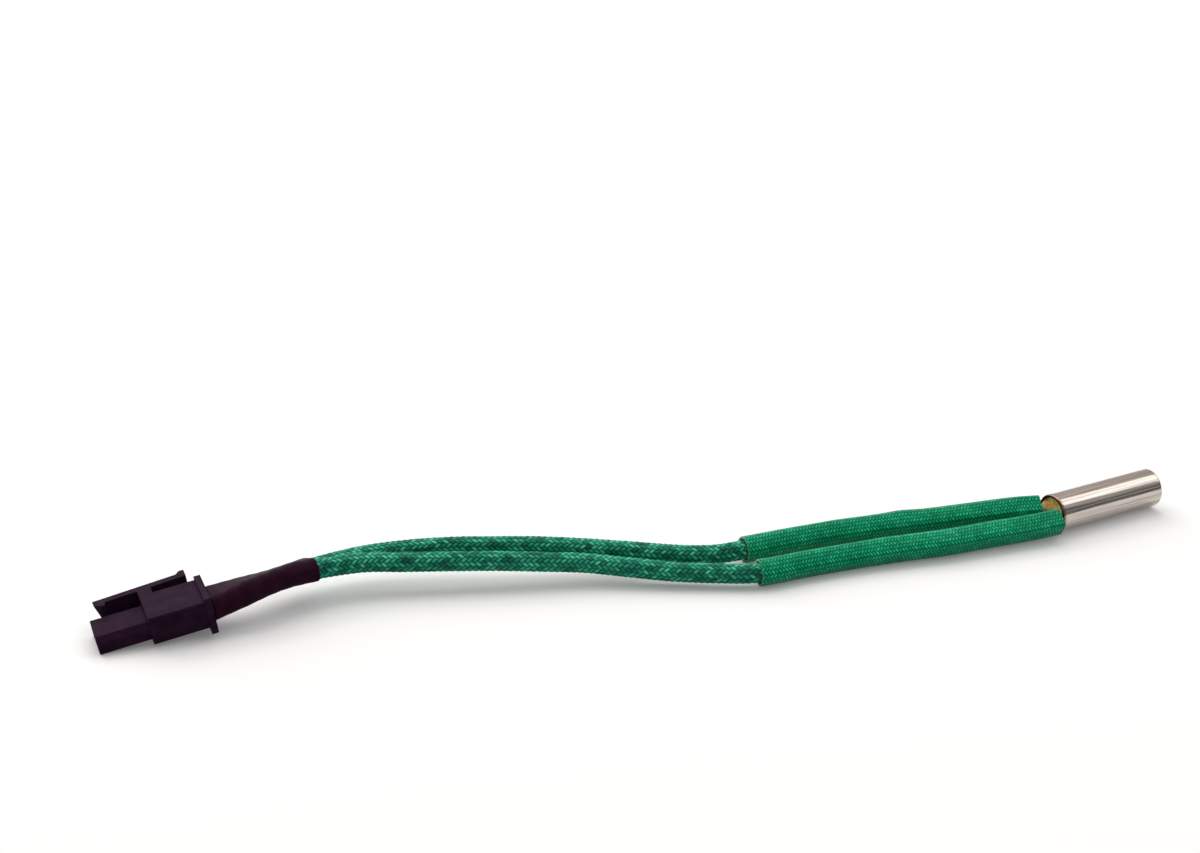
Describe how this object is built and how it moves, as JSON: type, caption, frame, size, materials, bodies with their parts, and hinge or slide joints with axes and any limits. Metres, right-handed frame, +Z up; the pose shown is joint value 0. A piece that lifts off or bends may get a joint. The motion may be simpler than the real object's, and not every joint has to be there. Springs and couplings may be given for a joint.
{
  "type": "cartridge heater",
  "caption": "Slim cylindrical cartridge heater in a steel sheath, with sleeved braided leads that end in a latching plug-in connector.",
  "frame": {"origin": "on the surface that the heater lies on, under the middle of the sheath", "axes": "+X along the sheath towards its closed tip, +Z up, leads running towards -X and +Y"},
  "size_m": [0.16, 0.0469, 0.0071],
  "materials": {
    "sheath_steel": "drawn and lightly polished stainless steel",
    "ceramic": "unglazed ceramic",
    "coil_wire": "bare resistance wire",
    "magnesia": "packed powder",
    "cement": "grainy fired cement",
    "pin_nickel": "drawn nickel",
    "wire_insulation": "smooth extruded insulation",
    "lead_braid": "fine glass braid, dyed green",
    "sleeving": "varnished glass braid, dyed green",
    "shrink_film": "satin shrink film",
    "connector_nylon": "satin moulded nylon",
    "contact_metal": "plated sheet brass"
  },
  "bodies": {
    "root": {"sheath": "sheath_steel", "end_disc": "sheath_steel", "end_insulator": "ceramic", "core": "ceramic", "heating_coil": "coil_wire", "magnesia_fill": "magnesia", "mouth_potting": "cement", "pin_front": "pin_nickel", "pin_back": "pin_nickel", "wire_front": "wire_insulation", "wire_back": "wire_insulation", "lead_front": "lead_braid", "lead_back": "lead_braid", "sleeve_front": "sleeving", "sleeve_back": "sleeving", "shrink_tube": "shrink_film", "tail_front": "wire_insulation", "tail_back": "wire_insulation", "housing": "connector_nylon", "contact_front_circuit": "contact_metal", "contact_back_circuit": "contact_metal"}
  },
  "joints": []
}
